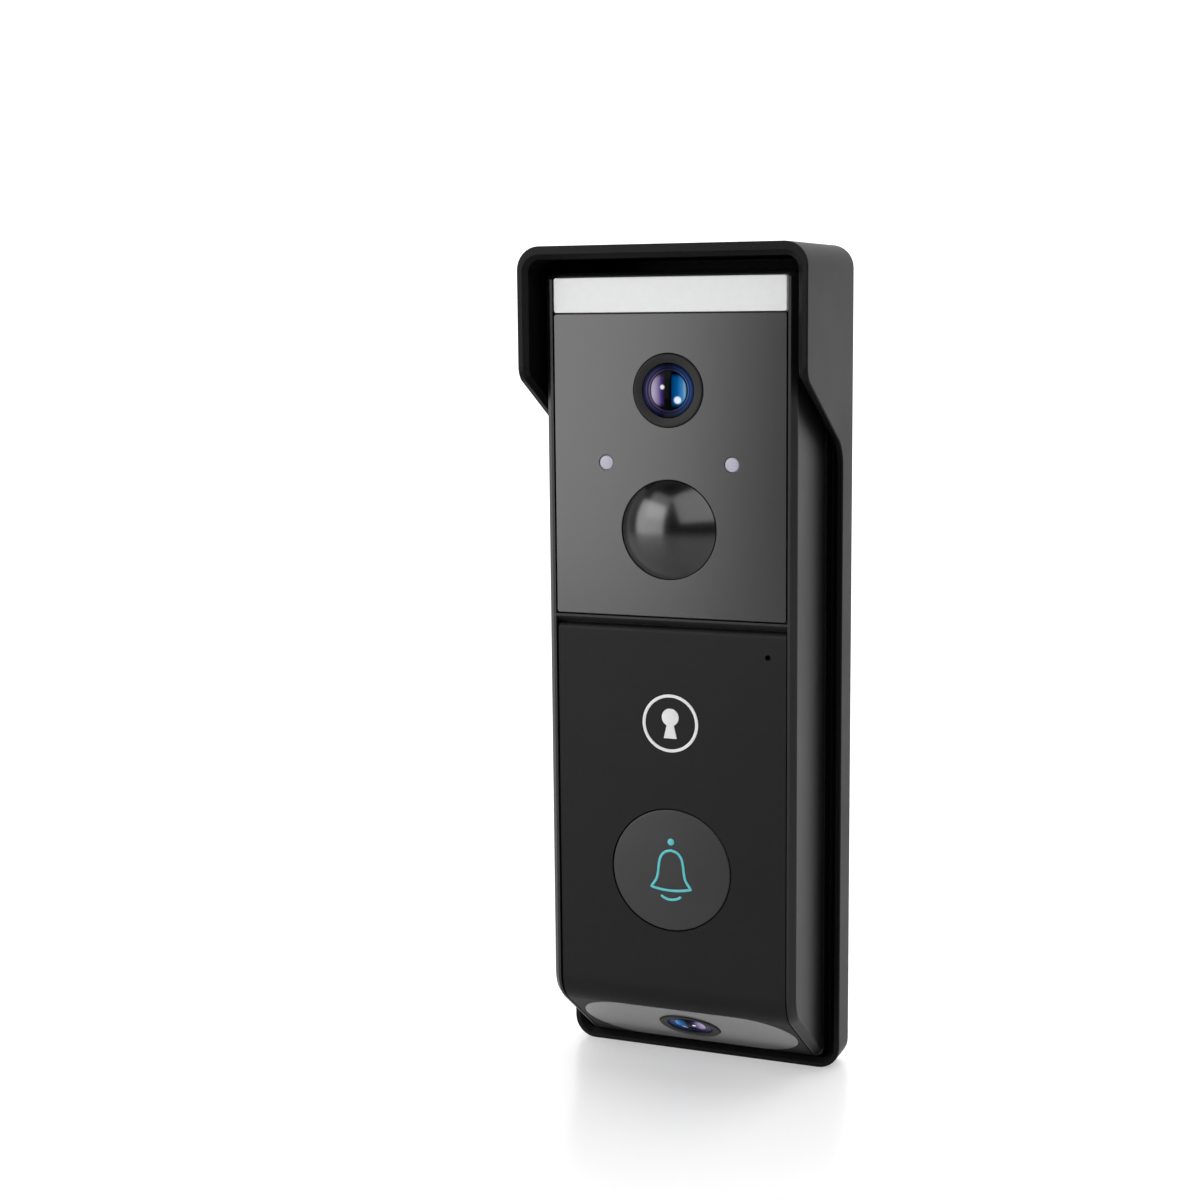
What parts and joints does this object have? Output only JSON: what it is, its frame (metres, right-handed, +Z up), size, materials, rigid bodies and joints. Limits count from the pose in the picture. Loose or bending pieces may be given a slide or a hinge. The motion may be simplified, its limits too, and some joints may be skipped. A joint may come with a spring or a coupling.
{
  "type": "video doorbell",
  "caption": "Tall black video doorbell in a rain hood, with camera, motion sensor dome, light bar, round bell button, sloping chin with a second camera, and its inside parts.",
  "frame": {"origin": "middle of the hood's flat back face, which lies against the wall", "axes": "+X to the right of someone facing the front, +Y into the wall, +Z up; the front faces -Y"},
  "size_m": [0.058, 0.0317, 0.1658],
  "materials": {
    "hood_plastic": "fine matte",
    "shell_plastic": "satin",
    "cover_plastic": "fine matte",
    "dark_panel": "gloss, smoked",
    "diffuser": "satin, milky",
    "dome_plastic": "gloss",
    "lens_ring": "satin",
    "lens_glass": "coated, clear",
    "light_pipe": "milky",
    "button_plastic": "fine matte",
    "symbol_cyan": "lit print",
    "print_white": "print",
    "window_plastic": "smoked, satin",
    "circuit_board": "solder mask",
    "tinned_steel": "tinned",
    "screw_steel": "zinc plated",
    "rubber": "matte",
    "battery_wrap": "shrink wrap",
    "black_part": "moulded",
    "led_body": "clear and yellow",
    "antenna_film": "film"
  },
  "bodies": {
    "hood": {"rain_hood": "hood_plastic", "security_screw": "screw_steel"},
    "housing": {"front_shell": "shell_plastic", "rear_shell": "shell_plastic", "lower_cover": "cover_plastic", "glass_panel": "dark_panel", "light_bar_lens": "diffuser", "motion_dome": "dome_plastic", "main_lens_ring": "lens_ring", "chin_lens_ring": "lens_ring", "main_lens_glass": "lens_glass", "chin_lens_glass": "lens_glass", "light_pipe_left": "light_pipe", "light_pipe_right": "light_pipe", "badge_ring": "print_white", "badge_keyhole": "print_white", "chin_window": "window_plastic", "main_board": "circuit_board", "sensor_board": "circuit_board", "button_board": "circuit_board", "light_bar_board": "circuit_board", "main_camera_board": "circuit_board", "chin_camera_board": "circuit_board", "motion_sensor": "tinned_steel", "microphone": "tinned_steel", "charge_port": "tinned_steel", "processor_shield": "tinned_steel", "shell_screw_1": "screw_steel", "shell_screw_2": "screw_steel", "shell_screw_3": "screw_steel", "shell_screw_4": "screw_steel", "board_screw_1": "screw_steel", "board_screw_2": "screw_steel", "shell_seal": "rubber", "microphone_boot": "rubber", "battery_pack": "battery_wrap", "main_lens_barrel": "black_part", "main_lens_holder": "black_part", "chin_lens_barrel": "black_part", "chin_lens_holder": "black_part", "bell_switch_body": "black_part", "reset_switch_body": "black_part", "speaker": "black_part", "bar_led_1": "led_body", "bar_led_2": "led_body", "bar_led_3": "led_body", "bar_led_4": "led_body", "sensor_led_left": "led_body", "sensor_led_right": "led_body", "antenna_strip": "antenna_film"},
    "bell_button": {"bell_button": "button_plastic", "bell_symbol": "symbol_cyan", "bell_symbol_dot": "symbol_cyan", "bell_symbol_clapper": "symbol_cyan"},
    "bell_plunger": {"bell_switch_plunger": "button_plastic"},
    "reset_button": {"reset_button": "button_plastic"},
    "reset_plunger": {"reset_switch_plunger": "button_plastic"},
    "port_flap": {"port_flap": "rubber"}
  },
  "joints": [
    {"name": "body_lift", "type": "slide", "parent": "hood", "child": "housing", "axis": [0, 0, 1], "range_m": [0, 0.002]},
    {"name": "bell_press", "type": "slide", "parent": "housing", "child": "bell_button", "axis": [0, 1, 0], "range_m": [0, 0.0006], "stiffness_N_per_m": 2500, "springref_m": -0.0002},
    {"name": "bell_plunger_slide", "type": "slide", "parent": "housing", "child": "bell_plunger", "axis": [0, 1, 0], "range_m": [0, 0.0006]},
    {"name": "reset_press", "type": "slide", "parent": "housing", "child": "reset_button", "axis": [0, -1, 0], "range_m": [0, 0.0004], "stiffness_N_per_m": 2500, "springref_m": -0.0002},
    {"name": "reset_plunger_slide", "type": "slide", "parent": "housing", "child": "reset_plunger", "axis": [0, -1, 0], "range_m": [0, 0.0004]},
    {"name": "flap_hinge", "type": "hinge", "parent": "housing", "child": "port_flap", "pos_m": [0, -0.0023, 0.0135], "axis": [-1, 0, 0], "range_deg": [0, 110]}
  ],
  "couplings": [
    {"joint": "bell_plunger_slide", "follows": "bell_press", "ratio": 1},
    {"joint": "reset_plunger_slide", "follows": "reset_press", "ratio": 1}
  ]
}
